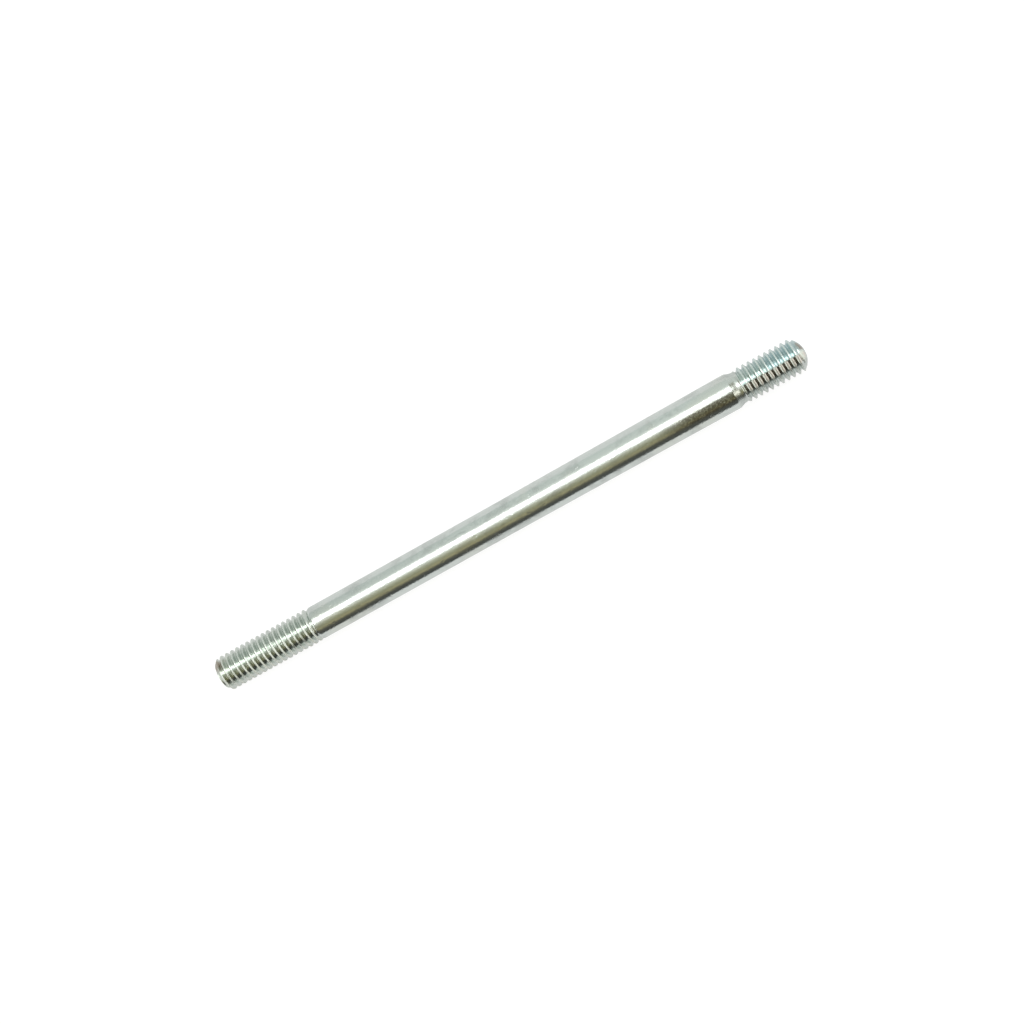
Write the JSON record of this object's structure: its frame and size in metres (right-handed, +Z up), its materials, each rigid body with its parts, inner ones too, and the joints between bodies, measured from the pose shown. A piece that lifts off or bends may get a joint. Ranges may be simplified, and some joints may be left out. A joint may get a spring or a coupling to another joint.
{
  "type": "carburetor stud",
  "caption": "Double-ended zinc-plated steel stud with a plain shank, a long nut-end thread and a short necked metal-end thread.",
  "frame": {"origin": "on the stud's axis, at the shoulder where the full shank ends and the metal end's neck begins", "axes": "+X along the axis, out of the metal end; +Z up, with the stud lying on its side"},
  "size_m": [0.1105, 0.0062, 0.0062],
  "materials": {
    "zinc_plated_steel": "bright zinc plate, lightly drawn along the shank"
  },
  "bodies": {
    "root": {"stud": "zinc_plated_steel"}
  },
  "joints": []
}
